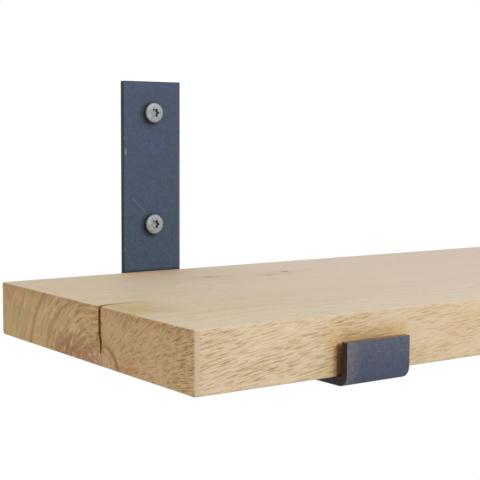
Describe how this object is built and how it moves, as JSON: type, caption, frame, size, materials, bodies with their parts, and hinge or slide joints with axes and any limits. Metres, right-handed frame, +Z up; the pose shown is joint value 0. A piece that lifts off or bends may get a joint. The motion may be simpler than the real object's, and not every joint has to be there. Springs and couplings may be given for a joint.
{
  "type": "bracket wall shelf",
  "caption": "Solid oak wall shelf board carried by bent flat-bar steel brackets that screw to the wall above the board, pass under it and turn up in a short lip at its front edge.",
  "frame": {"origin": "centre of the four wall fixings, on the face of the wall that the bracket plates lie against", "axes": "+X along the board to the right as seen from the room, +Y into the wall, +Z up"},
  "size_m": [0.6, 0.268, 0.1528],
  "materials": {
    "oak": "sanded, unfinished oak with open grain",
    "steel": "hot-rolled mill scale, blue-grey, matt",
    "screw_zinc": "dull zinc plating",
    "plug_nylon": "moulded grey nylon"
  },
  "bodies": {
    "root": {"board_screw_left_back": "screw_zinc", "board_screw_left_front": "screw_zinc", "board_screw_right_back": "screw_zinc", "board_screw_right_front": "screw_zinc", "bracket_left": "steel", "bracket_right": "steel", "shelf_board": "oak", "wall_plug_left_lower": "plug_nylon", "wall_plug_left_upper": "plug_nylon", "wall_plug_right_lower": "plug_nylon", "wall_plug_right_upper": "plug_nylon", "wall_screw_left_lower": "screw_zinc", "wall_screw_left_upper": "screw_zinc", "wall_screw_right_lower": "screw_zinc", "wall_screw_right_upper": "screw_zinc"}
  },
  "joints": []
}
